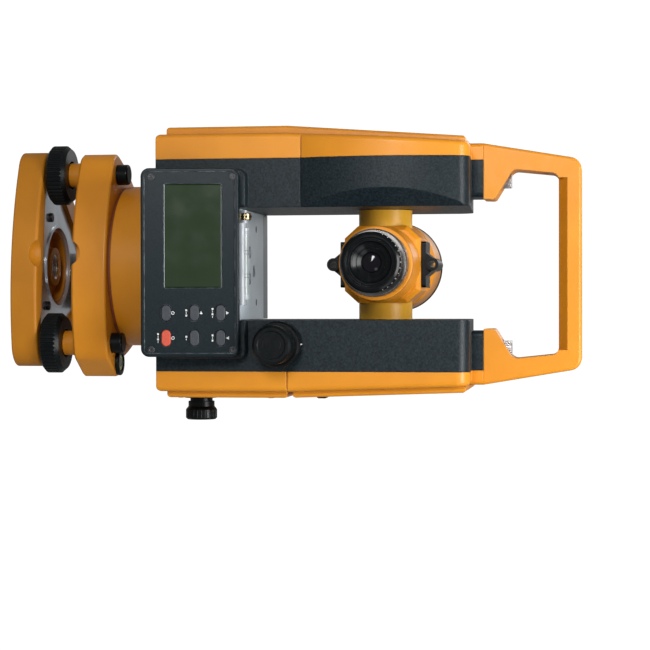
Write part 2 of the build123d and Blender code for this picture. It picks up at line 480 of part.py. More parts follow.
# ---- display ------------------------------------------------------------------------------
def make_display():
    bottom_y, bottom_z = DISPLAY_BOTTOM
    top_y, top_z = DISPLAY_TOP
    centre_x = (DISPLAY_X0 + DISPLAY_X1) / 2
    centre_z = (bottom_z + top_z) / 2
    slope = hypot(top_y - bottom_y, top_z - bottom_z)
    normal = (0, -(top_z - bottom_z) / slope, (top_y - bottom_y) / slope)
    face = Plane((centre_x, (bottom_y + top_y) / 2, centre_z), x_dir=(1, 0, 0), z_dir=normal)
    rise = slope / (top_z - bottom_z)

    def spot(x, z):
        """Where a point at X and Z lies in the panel's own plane."""
        return Pos(x - centre_x, (z - centre_z) * rise)

    width = DISPLAY_X1 - DISPLAY_X0
    slab = extrude(face * RectangleRounded(width, slope, 5.0), -DISPLAY_THICK)
    slab = fillet(slab.faces().sort_by(Axis(face.origin, face.z_dir))[-1].edges(), 1.0)
    neck = block(-33.0, 33.0, -68, -50.2, 93, 128)
    slab += neck
    recess = RectangleRounded(width - 4.4, slope - 4.4, 2.0)
    slab -= extrude(face * recess, -PANEL_RECESS)
    floor = face.offset(-PANEL_RECESS)
    wx, wz = (WINDOW_X[0] + WINDOW_X[1]) / 2, (WINDOW_Z[0] + WINDOW_Z[1]) / 2
    window_height = (WINDOW_Z[1] - WINDOW_Z[0]) * rise
    window = spot(wx, wz) * RectangleRounded(WINDOW_X[1] - WINDOW_X[0], window_height, 1.0)
    slab -= extrude(floor * window, -2.2)
    glass = extrude(floor * window, -2.2)
    front = glass.faces().sort_by(Axis(floor.origin, floor.z_dir))[-1]
    pieces["display_glass"] = chamfer(front.edges(), 0.8)
    screws = []
    for x in DISPLAY_SCREW_X:
        for z in DISPLAY_SCREW_Z:
            slab -= extrude(floor.offset(0.1) * spot(x, z) * Circle(1.1), -7)
            slab -= extrude(face.offset(0.1) * spot(x, z) * Circle(2.0), -PANEL_RECESS - 0.6)
            screw = extrude(floor.offset(-0.5) * spot(x, z) * Circle(1.9), 1.1)
            screw += extrude(floor * spot(x, z) * Circle(1.0), -6)
            screw -= extrude(floor.offset(0.2) * spot(x, z) * RegularPolygon(1.1, 6), 1)
            screws.append(screw.solid())
    pieces["display_screws"] = Compound(screws)
    cavity = spot((WINDOW_X[0] + KEY_COLUMNS[1]) / 2 + 2, (bottom_z + top_z) / 2)
    slab -= extrude(face.offset(-5.6) * cavity * RectangleRounded(84, 42, 3), -2.4)
    pieces["circuit_board"] = extrude(face.offset(-6.2) * cavity * RectangleRounded(83, 41, 2.8), -1.4)
    for row_name, z in zip(("lower", "middle", "upper"), KEY_ROWS):
        for column_name, x in zip(("left", "right"), KEY_COLUMNS):
            at = spot(x, z)
            hole = SlotOverall(KEY_LENGTH + 0.5, KEY_WIDTH + 0.5)
            slab -= extrude(floor.offset(0.1) * at * hole, -6)
            key = extrude(floor.offset(-2.6) * at * SlotOverall(KEY_LENGTH, KEY_WIDTH), 3.9)
            top = key.faces().sort_by(Axis(floor.origin, floor.z_dir))[-1]
            pieces[f"key_{row_name}_{column_name}"] = fillet(top.edges(), 0.6)
    pieces["display_housing"] = slab


# ---- clamps, plummet ----------------------------------------------------------------------
def make_clamp(name, x, z, sign):
    """A clamp ring with a tangent knob through it, on a standard's face; sign is its side of Y."""
    def at(distance):
        return sign * (SHELL_Y + distance)

    plane = along_y(x, sign * SHELL_Y, z, sign)
    ring = turned([(KNOB_BORE_R, 0.3), (CLAMP_RING_R - 0.9, 0.3), (CLAMP_RING_R, 1.4), (CLAMP_RING_R, 10.0),
                   (CLAMP_RING_R - 1.1, 11.4), (KNOB_BORE_R, 11.4)], plane)
    for i in range(18):
        flute = polar(CLAMP_RING_R + 0.3, i * 20)
        ring -= rod_y(0.7, at(1.5), at(10.2), x + flute[0], z + flute[1])
    knob = turned([(0, -6), (5, -6), (5, 11.8), (TANGENT_KNOB_R - 0.8, 11.8), (TANGENT_KNOB_R, 12.8),
                   (TANGENT_KNOB_R, 28.2), (TANGENT_KNOB_R - 1.4, 29.8), (TANGENT_KNOB_R - 3.0, 29.8),
                   (TANGENT_KNOB_R - 3.6, 29.2), (0, 29.2)], plane)
    for i in range(30):
        flute = polar(TANGENT_KNOB_R + 0.25, i * 12)
        knob -= rod_y(0.5, at(13.2), at(27.8), x + flute[0], z + flute[1])
    pieces[f"{name}_clamp_ring"] = ring
    pieces[f"{name}_tangent_knob"] = knob
    standard = "right_standard_shell" if x > 0 else "left_standard_shell"
    pieces[standard] = pieces[standard] - rod_y(KNOB_BORE_R, at(-8), at(1), x, z)


def make_plummet():
    plane = along_x(0, 0, PLUMMET_Z)
    face = PANEL_OUT[1]
    end = face + 12.8
    flange = turned([(4.5, 62), (PLUMMET_R - 0.1, 62), (PLUMMET_R - 0.1, face), (11.3, face),
                     (11.3, face + 1.4), (10.7, face + 2), (7, face + 2), (7, end), (4.5, end)], plane)
    pieces["plummet_flange"] = flange
    ring = turned([(7 + CLEAR, face + 4.2), (8.2, face + 4.2), (8.2, face + 7.4), (9.8, face + 9.4),
                   (9.8, face + 14.6), (8.8, face + 15.6), (6.0, face + 15.6), (5.2, face + 13.3),
                   (7 + CLEAR, face + 13.3)], plane)
    for i in range(24):
        flute = polar(9.95, i * 15)
        ring -= rod_x(0.45, face + 9.6, face + 14.3, flute[0], PLUMMET_Z + flute[1])
    pieces["plummet_focus_ring"] = ring


# ---- telescope ----------------------------------------------------------------------------
def knurled(ring, count, radius, low, high, flute_r):
    """A ring about the telescope's line of sight, with flutes between two distances from the axis."""
    for i in range(count):
        flute = polar(radius + 0.22, i * 360 / count)
        ring -= rod_y(flute_r, -high, -low, flute[0], TILT_AXIS_Z + flute[1])
    return ring


def make_telescope():
    z = TILT_AXIS_Z
    forward = along_y(0, 0, z, -1)            # towards the eyepiece
    rearward = along_y(0, 0, z, 1)            # towards the objective
    wide, tall = BLOCK_HALF
    near, cut = BLOCK_CORNER
    corners = [(wide, near), (cut, tall), (-cut, tall), (-wide, near)]
    octagon = make_face(Polyline(*corners, *[(-x, -y) for x, y in corners], close=True))
    body = extrude(along_y(0, BLOCK_FRONT, z, 1) * octagon, BLOCK_BACK - BLOCK_FRONT)
    body = chamfer(body.faces().sort_by(Axis.Y)[0].edges(), 2.6)
    body += rod_x(TRUNNION_R, -66, 59, 0, z)
    body += turned([(0, 20), (OBJECTIVE_R - 4, 20), (OBJECTIVE_R, 28), (OBJECTIVE_R, 72.5),
                    (OBJECTIVE_R - 1, 74), (0, 74)], rearward)
    body += turned([(0, 12), (23.2, 12), (23.2, 20), (22.4, 30), (22, 40), (22, 51.5), (21.4, 52), (14, 52),
                    (14, 64), (10, 64), (10, 70), (0, 70)], forward)
    body -= turned([(0, -71), (6, -71), (6, 30), (24, 45), (24, 75), (0, 75)], rearward)
    pieces["telescope_body"] = body
    lens = turned([(0, 60), (23.9, 60), (24, 61), (24, 66), (16, 68.2), (0, 69.2)], rearward)
    pieces["objective_lens"] = lens
    pieces["vertical_circle"] = rod_x(VERTICAL_CIRCLE_R, -63, -61, 0, z) - rod_x(TRUNNION_R, -70, -50, 0, z)
    bore = 14 + CLEAR
    focus = turned([(bore, 52.3), (19.4, 52.3), (20, 53), (20, 62.6), (19.2, 63.5), (bore, 63.5)], forward)
    pieces["focusing_ring"] = knurled(focus, 44, 20, 53.6, 62.0, 0.45)
    bore = 10 + CLEAR
    eye = turned([(bore, 64.2), (17.2, 64.2), (17.8, 65), (17.8, 75.6), (17.0, 77.2), (15.6, 78), (14.6, 78),
                  (14.2, 77), (12.5, 77), (11.5, 75.8), (6.0, 72.8), (6.0, 70.4), (bore, 70.4)], forward)
    pieces["eyepiece_ring"] = knurled(eye, 36, 17.8, 66.0, 74.8, 0.5)
    pieces["eyepiece_lens"] = turned([(0, 70.5), (6, 70.5), (6, 72), (4, 72.9), (0, 73.3)], forward)

    sights = []
    for up in (1, -1):
        plate = block(-14, 14, -14, 12, *sorted((z + up * tall, z + up * (tall + 3))))
        plate = fillet(plate.edges().filter_by(Axis.Z), 1.5)
        low, high = tall + 2.5, SIGHT_AXIS
        flare = Polyline((-7.5, low), (7.5, low), (3.9, high), (-3.9, high), close=True)
        flare = make_face(flare) if up > 0 else mirror(make_face(flare), Plane.XZ)
        plate += extrude(Plane((0, -14, z), x_dir=(1, 0, 0), z_dir=(0, -1, 0)) * flare, -26)
        plate += rod_y(4, -18, 16, 0, z + up * SIGHT_AXIS)
        plate -= rod_y(2.2, -19, 17, 0, z + up * SIGHT_AXIS)
        sights.append(plate.solid())
    pieces["optical_sights"] = Compound(sights)


# ---- carrying handle ----------------------------------------------------------------------
def rounded_path(points):
    """A closed face through (x, z, radius) corners given for x > 0, mirrored to x < 0."""
    corners = points + [(-x, z, r) for x, z, r in reversed(points)]
    face = make_face(Polyline(*[(x, z) for x, z, r in corners], close=True))
    for x, z, r in corners:
        if r > 0:
            face = fillet(face.vertices().sort_by_distance((x, z, 0))[0], r)
    return face


def make_handle():
    foot = NECK_Z1
    outside = rounded_path([(NECK_OUT, foot, 0), (63.3, HANDLE_TOP, 7.5)])
    hollow = rounded_path([(39.5, foot - 1, 0), (39.2, 287.5, 2.5), (57.5, 298.8, 5.0), (54.6, GRIP_Z, 4.5)])
    frame_plane = Plane((0, HANDLE_Y, 0), x_dir=(1, 0, 0), z_dir=(0, -1, 0))
    handle = extrude(frame_plane * outside, 2 * HANDLE_Y)
    handle = fillet(handle.edges().filter_by(lambda e: e.center().Z > foot + 1
                                             and abs(abs(e.center().Y) - HANDLE_Y) < 0.1), 2.0)
    handle -= extrude(frame_plane * hollow, 2 * HANDLE_Y)
    outside_y, wedge_top = -HANDLE_Y - 1, GRIP_Z + 5.2
    wedge = Polyline((outside_y, GRIP_Z - 1), (-HANDLE_Y + 5, GRIP_Z - 0.1), (-HANDLE_Y, wedge_top),
                     (outside_y, wedge_top), close=True)
    wedge = make_face(wedge)
    for way in (wedge, mirror(wedge, Plane.YZ)):
        handle -= extrude(along_x(0, 0, 0) * way, 52, both=True)
    for side, name in ((-1, "left"), (1, "right")):
        x = side * HANDLE_SCREW_X
        handle -= drum(6.0, 290, 320, x, 0)
        handle -= drum(3 + CLEAR, 270, 320, x, 0)
        screw = Pos(x, 0) * fluted(4.5, 24, 0.35, 290.3, 297.6)
        pieces[f"handle_screw_{name}"] = screw + drum(3.0, SHELL_TOP - 8, 290.4, x, 0)
    pieces["handle"] = handle


def main():
    make_base()
    make_foot_screws()
    make_tribrach()
    make_alidade_core()
    make_plate_level()
    make_standards()
    make_side_panels()
    make_display()
    make_clamp("vertical", CLAMP_X, 161.8, -1)
    make_clamp("horizontal", -CLAMP_X, 110.0, 1)
    make_plummet()
    make_telescope()
    make_handle()
    os.makedirs("parts", exist_ok=True)
    for name, shape in pieces.items():
        export_step(Pos(0, 0, DATUM) * shape, f"parts/{name}.step")


main()
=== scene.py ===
import json
from math import atan2, cos, pi, radians, sin

import bmesh
import bpy
from mathutils import Matrix, Vector


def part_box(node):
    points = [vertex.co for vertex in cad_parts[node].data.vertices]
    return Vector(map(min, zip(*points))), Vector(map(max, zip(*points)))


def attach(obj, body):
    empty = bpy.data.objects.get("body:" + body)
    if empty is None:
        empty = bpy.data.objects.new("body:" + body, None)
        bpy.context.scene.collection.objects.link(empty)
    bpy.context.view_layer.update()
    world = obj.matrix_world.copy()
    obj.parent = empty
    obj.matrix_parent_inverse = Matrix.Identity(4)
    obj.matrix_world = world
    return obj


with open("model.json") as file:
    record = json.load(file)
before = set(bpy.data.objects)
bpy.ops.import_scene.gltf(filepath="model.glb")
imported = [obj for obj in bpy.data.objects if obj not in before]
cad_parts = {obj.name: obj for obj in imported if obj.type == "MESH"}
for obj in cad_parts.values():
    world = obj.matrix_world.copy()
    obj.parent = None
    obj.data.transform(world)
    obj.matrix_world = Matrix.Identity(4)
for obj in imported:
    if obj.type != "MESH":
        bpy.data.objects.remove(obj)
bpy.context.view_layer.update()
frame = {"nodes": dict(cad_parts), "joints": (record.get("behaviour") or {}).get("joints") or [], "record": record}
nodes = frame["nodes"]
joints = {joint["name"]: joint for joint in frame["joints"]}
MM = 0.001
TURNED = (1, 1, 14)             # draws noise out into the marks of a lathe, round Z

WHITE = (0.80, 0.80, 0.78)
YELLOW = (0.69, 0.262, 0.013)
YELLOW_DEEP = (0.63, 0.228, 0.010)
YELLOW_WORN = (0.80, 0.42, 0.10)
BLACK = (0.001, 0.004, 0.006)
BLACK_LIGHT = (0.012, 0.022, 0.028)
BLACK_WORN = (0.050, 0.066, 0.074)
WORLD_LIGHT = 0.26
FLOOR_LIGHT = 0.22
PAGE_WHITE = 1.05


# ---- materials ----------------------------------------------------------------------------
class Finish:
    """A Principled material whose colour, roughness and bump can be driven by textures."""

    def __init__(self, name, color, roughness, metallic=0.0, **sockets):
        self.material = bpy.data.materials.new(name)
        self.material.use_nodes = True
        self.tree = self.material.node_tree
        self.shader = self.tree.nodes["Principled BSDF"]
        self.set("Base Color", (*color, 1.0))
        self.set("Roughness", roughness)
        self.set("Metallic", metallic)
        for socket, value in sockets.items():
            self.set(socket.replace("_", " "), value)

    def set(self, socket, value):
        self.shader.inputs[socket].default_value = value

    def node(self, kind, **settings):
        made = self.tree.nodes.new(kind)
        for key, value in settings.items():
            if key in made.inputs.keys():
                made.inputs[key].default_value = value
            else:
                setattr(made, key, value)
        return made

    def link(self, a, b):
        self.tree.links.new(a, b)

    def noise(self, scale, detail=2.0, stretch=(1, 1, 1)):
        """Noise in the object's own space; scale is in features per metre."""
        where = self.node("ShaderNodeTexCoord").outputs["Object"]
        mapping = self.node("ShaderNodeMapping", Scale=stretch)
        texture = self.node("ShaderNodeTexNoise", Scale=scale, Detail=detail)
        self.link(where, mapping.inputs["Vector"])
        self.link(mapping.outputs["Vector"], texture.inputs["Vector"])
        return texture.outputs["Fac"]

    def ramp(self, value, from_low, from_high, low, high):
        """Maps a value from one range to another, and stays inside it."""
        ranged = self.node("ShaderNodeMapRange")
        ends = {"From Min": from_low, "From Max": from_high, "To Min": low, "To Max": high}
        for key, number in ends.items():
            ranged.inputs[key].default_value = number
        self.link(value, ranged.inputs["Value"])
        return ranged.outputs["Result"]

    def vary_roughness(self, scale, low, high):
        """Roughness that wanders between two values."""
        self.link(self.ramp(self.noise(scale), 0.3, 0.7, low, high), self.shader.inputs["Roughness"])

    def color_mix(self, factor, first, second):
        """A colour, or a socket that gives one, mixed with another and fed to the base colour."""
        mix = self.node("ShaderNodeMix", data_type="RGBA")
        colour_sockets = [socket for socket in mix.inputs if socket.type == "RGBA"]
        for socket, color in zip(colour_sockets, (first, second)):
            if isinstance(color, tuple):
                socket.default_value = (*color, 1.0)
            else:
                self.link(color, socket)
        self.link(factor, mix.inputs["Factor"])
        result = [socket for socket in mix.outputs if socket.type == "RGBA"][0]
        self.link(result, self.shader.inputs["Base Color"])

    def tint(self, scale, first, second, stretch=(1, 1, 1)):
        """Colour that wanders between two tints."""
        self.color_mix(self.ramp(self.noise(scale, 3.0, stretch), 0.3, 0.7, 0.0, 1.0), first, second)

    def edge_wear_and_highlight(self, color, radius, amount):
        """Moves the colour towards another along the edges, more in some places: rubbed paint, and on the display
        housing a painted highlight along its rim.
        """
        rounded = self.node("ShaderNodeBevel", Radius=radius, samples=4)
        flat = self.node("ShaderNodeNewGeometry").outputs["Normal"]
        dot = self.node("ShaderNodeVectorMath", operation="DOT_PRODUCT")
        self.link(rounded.outputs["Normal"], dot.inputs[0])
        self.link(flat, dot.inputs[1])
        edge = self.ramp(dot.outputs["Value"], 0.995, 0.80, 0.0, amount)
        patch = self.ramp(self.noise(180), 0.42, 0.62, 0.15, 1.0)
        both = self.node("ShaderNodeMath", operation="MULTIPLY")
        self.link(edge, both.inputs[0])
        self.link(patch, both.inputs[1])
        base = self.shader.inputs["Base Color"].links[0].from_socket
        self.color_mix(both.outputs["Value"], base, color)

    def bump(self, scale, distance, stretch=(1, 1, 1), soften=0.0):
        """Fine relief, over edges that a small radius softens."""
        made = self.node("ShaderNodeBump", Distance=distance, Strength=1.0)
        self.link(self.noise(scale, stretch=stretch), made.inputs["Height"])
        if soften > 0:
            rounded = self.node("ShaderNodeBevel", Radius=soften, samples=4)
            self.link(rounded.outputs["Normal"], made.inputs["Normal"])
        self.link(made.outputs["Normal"], self.shader.inputs["Normal"])


def orange_paint():
    """Orange-yellow enamel of the covers and castings, worn pale at the edges."""
    finish = Finish("orange_paint", YELLOW, 0.4, Specular_IOR_Level=0.3,
                    Coat_Weight=0.12, Coat_Roughness=0.25)
    finish.tint(35, YELLOW, YELLOW_DEEP)
    finish.edge_wear_and_highlight(YELLOW_WORN, 0.0006, 0.45)
    finish.vary_roughness(150, 0.34, 0.46)
    finish.bump(900, 0.00004, soften=0.0009)
    return finish


def base_painted_shade():
    """The same enamel made darker for the base plate: painted shade, for the light falling off towards the bottom.
    """
    finish = Finish("base_painted_shade", YELLOW, 0.45, Specular_IOR_Level=0.25)
    # painted shade: darker copies of the enamel's yellows, so the low base plate looks less lit
    finish.tint(35, (0.47, 0.180, 0.010), (0.42, 0.155, 0.008))
    finish.edge_wear_and_highlight(YELLOW_WORN, 0.0006, 0.45)
    finish.vary_roughness(150, 0.40, 0.52)
    finish.bump(900, 0.00004, soften=0.0009)
    return finish


def trunnion_paint():
    """The trunnions' yellower plastic."""
    finish = Finish("trunnion_paint", (0.60, 0.31, 0.020), 0.4, Specular_IOR_Level=0.3)
    finish.tint(60, (0.56, 0.29, 0.018), (0.63, 0.33, 0.024))
    finish.edge_wear_and_highlight(YELLOW_WORN, 0.0004, 0.3)
    finish.vary_roughness(150, 0.34, 0.46)
    finish.bump(900, 0.00003, soften=0.0004)
    return finish


def dark_metal():
    """Dark grey metal inside the case."""
    finish = Finish("dark_metal", (0.12, 0.15, 0.17), 0.5)
    finish.tint(60, (0.20, 0.24, 0.26), (0.25, 0.29, 0.31))
    finish.edge_wear_and_highlight((0.4, 0.43, 0.45), 0.0004, 0.4)
    finish.bump(1600, 0.00004, soften=0.0004)
    return finish


def dark_seam_and_painted_shade():
    """Red-brown: the dark seam round the telescope's tube, and painted shade round the drum's foot."""
    finish = Finish("dark_seam_and_painted_shade", (0.05, 0.012, 0.006), 0.6)
    finish.tint(300, (0.14, 0.030, 0.004), (0.20, 0.045, 0.006))
    finish.bump(2000, 0.00003)
    return finish


def black_plastic():
    """Grained blue-black plastic of the standards' shells."""
    finish = Finish("black_plastic", BLACK, 0.4, Specular_IOR_Level=0.24)
    finish.tint(850, BLACK, BLACK_LIGHT)
    finish.edge_wear_and_highlight(BLACK_WORN, 0.0006, 0.5)
    finish.vary_roughness(1500, 0.32, 0.50)
    finish.bump(1700, 0.00009, soften=0.0008)
    return finish


def housing_black():
    """Finer grained plastic of the display housing, with a pale painted highlight along its edges."""
    finish = Finish("housing_black", BLACK, 0.36, Specular_IOR_Level=0.2)
    finish.tint(1400, (0.001, 0.006, 0.009), (0.007, 0.016, 0.021))
    # painted highlight: pale edges stand in for the light caught by the housing's rounded rim
    finish.edge_wear_and_highlight((0.24, 0.27, 0.29), 0.0006, 0.9)
    finish.vary_roughness(2000, 0.28, 0.42)
    finish.bump(2600, 0.00003, soften=0.0005)
    return finish


def smooth_black():
    """Smooth black plastic of the knobs."""
    finish = Finish("smooth_black", (0.003, 0.004, 0.005), 0.34, Specular_IOR_Level=0.18)
    finish.tint(1200, (0.001, 0.002, 0.002), (0.003, 0.005, 0.006))
    finish.edge_wear_and_highlight((0.02, 0.024, 0.026), 0.0003, 0.5)
    finish.vary_roughness(300, 0.28, 0.40)
    finish.bump(1800, 0.000004, soften=0.0005)
    return finish


def gloss_black():
    """Glossy black of the eyepiece."""
    finish = Finish("gloss_black", (0.003, 0.004, 0.005), 0.2, Specular_IOR_Level=0.2)
    finish.tint(300, (0.001, 0.002, 0.002), (0.004, 0.005, 0.006))
    finish.edge_wear_and_highlight((0.02, 0.024, 0.026), 0.0002, 0.4)
    finish.vary_roughness(120, 0.16, 0.25)
    finish.bump(900, 0.000002, soften=0.0004)
    return finish


def lcd_window():
    """Switched-off liquid crystal screen."""
    finish = Finish("lcd_window", (0.022, 0.036, 0.018), 0.14, Specular_IOR_Level=0.25)
    finish.tint(22, (0.019, 0.033, 0.016), (0.026, 0.042, 0.022))
    finish.vary_roughness(90, 0.10, 0.2)
    return finish


def green_board():
    """Circuit board."""
    finish = Finish("green_board", (0.02, 0.15, 0.05), 0.4)
    finish.tint(200, (0.02, 0.14, 0.05), (0.03, 0.17, 0.06))
    finish.bump(1500, 0.00004)
    return finish


def grey_keys():
    """Grey rubber keys."""
    finish = Finish("grey_keys", (0.030, 0.036, 0.045), 0.5)
    finish.tint(900, (0.026, 0.032, 0.040), (0.040, 0.047, 0.056))
    finish.edge_wear_and_highlight((0.09, 0.1, 0.11), 0.0003, 0.4)
    finish.vary_roughness(1200, 0.45, 0.6)
    finish.bump(3000, 0.00004, soften=0.0003)
    return finish


def red_key():
    """The red power key."""
    finish = Finish("red_key", (0.56, 0.070, 0.030), 0.45)
    finish.tint(700, (0.52, 0.062, 0.028), (0.60, 0.082, 0.036))
    finish.edge_wear_and_highlight((0.75, 0.28, 0.2), 0.0003, 0.35)
    finish.vary_roughness(1200, 0.4, 0.55)
    finish.bump(3000, 0.00004, soften=0.0003)
    return finish


def white_ink():
    """Printed marks."""
    finish = Finish("white_ink", WHITE, 0.55)
    finish.tint(900, (0.62, 0.62, 0.60), WHITE)
    finish.bump(3000, 0.00002)
    return finish


def rubber():
    """Dull black."""
    finish = Finish("rubber", (0.012, 0.012, 0.013), 0.75, Specular_IOR_Level=0.3)
    finish.tint(900, (0.010, 0.010, 0.011), (0.020, 0.020, 0.021))
    finish.bump(2600, 0.00006)
    return finish


def polished_steel():
    """The tribrach's bright spring plate."""
    finish = Finish("polished_steel", (0.74, 0.80, 0.86), 0.16, 0.8)
    finish.tint(60, (0.70, 0.77, 0.84), (0.80, 0.86, 0.92))
    finish.vary_roughness(140, 0.12, 0.22)
    finish.bump(420, 0.000004, soften=0.0004)
    return finish


def steel():
    """Turned steel."""
    finish = Finish("steel", (0.56, 0.56, 0.57), 0.3, 1.0)
    finish.tint(500, (0.48, 0.48, 0.49), (0.64, 0.64, 0.65), TURNED)
    finish.vary_roughness(400, 0.22, 0.38)
    finish.bump(900, 0.00003, stretch=TURNED, soften=0.0003)
    return finish


def brass():
    """Aged brass."""
    finish = Finish("brass", (0.40, 0.31, 0.17), 0.3, 1.0)
    finish.tint(500, (0.34, 0.26, 0.14), (0.48, 0.38, 0.21), TURNED)
    finish.vary_roughness(400, 0.2, 0.36)
    finish.bump(900, 0.00003, stretch=TURNED, soften=0.0003)
    return finish


def black_screws():
    """Blackened screws."""
    finish = Finish("black_screws", (0.02, 0.02, 0.022), 0.3, 0.7)
    finish.tint(800, (0.015, 0.015, 0.017), (0.035, 0.035, 0.038))
    finish.edge_wear_and_highlight((0.3, 0.3, 0.3), 0.0003, 0.6)
    finish.vary_roughness(600, 0.2, 0.36)
    finish.bump(1500, 0.00003, soften=0.0003)
    return finish


def bright_screws():
    """Plated screws."""
    finish = Finish("bright_screws", (0.66, 0.66, 0.66), 0.22, 1.0)
    finish.tint(800, (0.58, 0.58, 0.58), (0.74, 0.74, 0.74))
    finish.vary_roughness(600, 0.16, 0.3)
    return finish


def dull_screws():
    """The display's screws, deep in their pockets."""
    finish = Finish("dull_screws", (0.045, 0.045, 0.05), 0.42, 0.9)
    finish.tint(800, (0.03, 0.03, 0.033), (0.06, 0.06, 0.063))
    finish.edge_wear_and_highlight((0.4, 0.4, 0.4), 0.0003, 0.6)
    finish.vary_roughness(600, 0.34, 0.50)
    finish.bump(1500, 0.00002, soften=0.0003)
    return finish


def grey_metal():
    """Grey painted metal."""
    finish = Finish("grey_metal", (0.24, 0.29, 0.33), 0.42, 0.25)
    finish.tint(60, (0.22, 0.27, 0.31), (0.27, 0.33, 0.37))
    finish.edge_wear_and_highlight((0.6, 0.64, 0.67), 0.0004, 0.5)
    finish.vary_roughness(700, 0.36, 0.5)
    finish.bump(1600, 0.00004, soften=0.0004)
    return finish


def deck_paint():
    """Light grey paint of the deck between the standards."""
    finish = Finish("deck_paint", (0.62, 0.72, 0.79), 0.45, Specular_IOR_Level=0.4)
    finish.tint(50, (0.58, 0.68, 0.75), (0.66, 0.76, 0.83))
    finish.edge_wear_and_highlight((0.8, 0.84, 0.87), 0.0004, 0.5)
    finish.vary_roughness(700, 0.36, 0.5)
    finish.bump(1600, 0.00004, soften=0.0004)
    return finish


def dark_chrome():
    """The focusing ring's dark chrome."""
    finish = Finish("dark_chrome", (0.24, 0.23, 0.22), 0.28, 1.0)
    finish.tint(120, (0.18, 0.17, 0.165), (0.30, 0.29, 0.28))
    finish.vary_roughness(90, 0.22, 0.34)
    finish.bump(600, 0.000003, soften=0.0003)
    return finish


def level_tube():
    """Pale metal of the plate level."""
    finish = Finish("level_tube", (0.38, 0.41, 0.44), 0.35, 0.1)
    finish.tint(120, (0.34, 0.37, 0.40), (0.42, 0.45, 0.48))
    finish.vary_roughness(150, 0.3, 0.42)
    return finish


def clear_glass():
    """Clear glass."""
    finish = Finish("clear_glass", (0.92, 0.95, 0.93), 0.03, Transmission_Weight=1.0, IOR=1.5)
    finish.vary_roughness(80, 0.01, 0.05)
    return finish


def coated_lens():
    """The objective's purple coating."""
    finish = Finish("coated_lens", (0.10, 0.06, 0.16), 0.04, Coat_Weight=1.0, Coat_Roughness=0.03)
    finish.tint(30, (0.05, 0.03, 0.10), (0.09, 0.06, 0.05))
    finish.vary_roughness(90, 0.02, 0.06)
    return finish


def eye_lens():
    """The eyepiece's dark lens."""
    finish = Finish("eye_lens", (0.002, 0.002, 0.003), 0.05, Specular_IOR_Level=0.3)
    finish.tint(60, (0.001, 0.001, 0.002), (0.004, 0.003, 0.006))
    finish.vary_roughness(90, 0.03, 0.08)
    return finish


def level_liquid():
    """Yellow-green liquid of the circular level."""
    finish = Finish("level_liquid", (0.55, 0.72, 0.20), 0.05, Coat_Weight=0.8, Coat_Roughness=0.03)
    finish.tint(90, (0.50, 0.66, 0.17), (0.60, 0.76, 0.25))
    finish.vary_roughness(200, 0.03, 0.08)
    return finish


def pale_vial():
    """The plate level's pale vial."""
    finish = Finish("pale_vial", (0.31, 0.34, 0.35), 0.2, Coat_Weight=0.3, Coat_Roughness=0.1)
    finish.tint(90, (0.28, 0.31, 0.31), (0.34, 0.38, 0.38))
    finish.vary_roughness(200, 0.16, 0.24)
    return finish


MAKERS = [orange_paint, base_painted_shade, trunnion_paint, dark_metal, dark_seam_and_painted_shade, black_plastic,
          housing_black, smooth_black, gloss_black, lcd_window, green_board, grey_keys, red_key,
          white_ink, rubber, polished_steel, steel, brass, black_screws, bright_screws, dull_screws,
          grey_metal, deck_paint, dark_chrome, level_tube, clear_glass, coated_lens, eye_lens,
          level_liquid, pale_vial]
finishes = {maker.__name__: maker() for maker in MAKERS}

# The base plate's finish is the enamel made darker: painted shade.
CLOSER_FINISHES = {
    "gloss_black": ["eyepiece_ring"], "base_painted_shade": ["base_plate"],
    "smooth_black": ["optical_sights", "foot_screw_caps", "lock_lever", "vertical_tangent_knob",
                     "vertical_clamp_ring", "horizontal_tangent_knob", "circular_level_cup",
                     "plummet_focus_ring", "plummet_flange", "foot_screw_left_knob",
                     "foot_screw_right_knob", "foot_screw_rear_knob"],
    "housing_black": ["display_housing"], "level_tube": ["plate_level_holder"],
    "coated_lens": ["objective_lens"],
    "eye_lens": ["eyepiece_lens"], "level_liquid": ["circular_level_vial"], "pale_vial": ["plate_level_vial"],
    "deck_paint": ["deck_plate"], "dull_screws": ["display_screws"], "dark_chrome": ["focusing_ring"]}


def paint_cad():
    """Gives every CAD node the finish of its record slot, or a closer one where pieces differ."""
    slots = {part["node"]: part["material_slot"] for part in frame["record"]["subparts"]}
    for finish, names in CLOSER_FINISHES.items():
        slots.update({name: finish for name in names})
    for name, thing in nodes.items():
        thing.data.materials.clear()
        thing.data.materials.append(finishes[slots[name]].material)


# ---- mesh helpers -------------------------------------------------------------------------
def placed(origin, normal, across=(1, 0, 0)):
    """A matrix whose Z is the normal and whose X is the given direction, at an origin."""
    z = Vector(normal).normalized()
    x = (Vector(across) - z * Vector(across).dot(z)).normalized()
    axes = Matrix((x, z.cross(x), z)).transposed().to_4x4()
    return Matrix.Translation(origin) @ axes


def lathe(work, profile, place, steps=96):
    """Turns a closed outline of (radius, height) points, in millimetres, about the place's Z."""
    rings = []
    for i in range(steps):
        angle = 2 * pi * i / steps
        ring = [Vector((r * MM * cos(angle), r * MM * sin(angle), h * MM)) for r, h in profile]
        rings.append([work.verts.new(place @ point) for point in ring])
    for i in range(steps):
        for j in range(len(profile)):
            quad = (rings[i][j], rings[i - 1][j], rings[i - 1][j - 1], rings[i][j - 1])
            work.faces.new(quad)


